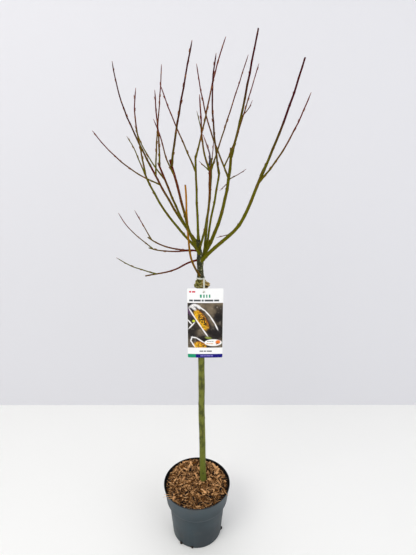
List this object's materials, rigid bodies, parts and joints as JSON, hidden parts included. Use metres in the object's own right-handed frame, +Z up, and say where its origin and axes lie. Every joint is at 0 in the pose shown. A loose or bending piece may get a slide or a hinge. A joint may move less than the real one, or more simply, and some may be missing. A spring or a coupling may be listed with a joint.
{
  "type": "potted willow standard tree",
  "caption": "Bare-crowned young willow grafted on a straight stem, standing in a bark-mulched nursery pot with a hanging picture label.",
  "frame": {"origin": "centre of the pot's underside, on the surface it stands on", "axes": "+Z up along the stem; -Y is the front, where the label hangs; +X is to the right seen from the front"},
  "size_m": [0.4573, 0.2744, 1.3391],
  "materials": {
    "pot_plastic": "matte slate blue-grey, near-black inside",
    "compost": "rough and crumbly",
    "bark_mulch": "rough orange-brown chips and fibres",
    "stem_bark": "smooth olive-green bark with darker mottling",
    "old_bark": "grey-green bark with pale lenticels",
    "callus": "rough tan and yellow-green callus",
    "olive_bark": "satin olive-green young bark",
    "red_bark": "satin olive to red-brown young bark",
    "maroon_bark": "satin olive to dark maroon young bark",
    "ochre_bark": "satin ochre bark",
    "dead_bark": "dull blue-black dead bark",
    "label_card": "glossy printed label",
    "label_strap": "white plastic strip"
  },
  "bodies": {
    "root": {"pot": "pot_plastic", "compost": "compost", "bark_mulch": "bark_mulch", "rootstock_stem": "stem_bark", "graft_callus": "callus", "old_wood": "old_bark", "label_card": "label_card", "label_strap": "label_strap", "right_limb": "olive_bark", "right_limb_leader": "maroon_bark", "right_limb_twig": "red_bark", "right_limb_spur": "red_bark", "tall_limb": "olive_bark", "tall_limb_leader": "maroon_bark", "tall_limb_leader_spur": "red_bark", "tall_limb_left_twig": "red_bark", "tall_limb_right_twig": "red_bark", "tall_limb_spur": "red_bark", "tall_limb_short_spur": "red_bark", "back_limb": "olive_bark", "back_limb_twig": "red_bark", "back_limb_spur": "red_bark", "inner_limb": "olive_bark", "inner_limb_twig": "maroon_bark", "middle_limb": "olive_bark", "middle_limb_right_twig": "red_bark", "middle_limb_left_twig": "red_bark", "front_limb": "olive_bark", "front_limb_twig": "red_bark", "front_limb_twig_spur": "olive_bark", "front_limb_dead_end": "dead_bark", "front_limb_spur": "olive_bark", "left_limb": "olive_bark", "left_limb_inner_twig": "red_bark", "left_limb_outer_twig": "olive_bark", "back_left_limb": "olive_bark", "back_left_limb_inner_twig": "red_bark", "back_left_limb_side_twig": "red_bark", "back_left_limb_long_twig": "maroon_bark", "inner_left_limb": "olive_bark", "inner_left_limb_outer_twig": "olive_bark", "inner_left_limb_upright_twig": "red_bark", "front_left_limb": "olive_bark", "front_left_limb_leader": "maroon_bark", "front_left_limb_twig": "red_bark", "low_limb": "red_bark", "low_limb_twig": "red_bark", "low_limb_fork": "red_bark", "low_limb_fork_twig": "red_bark", "drooping_limb": "red_bark", "drooping_limb_twig": "olive_bark", "ochre_cane": "ochre_bark"}
  },
  "joints": []
}
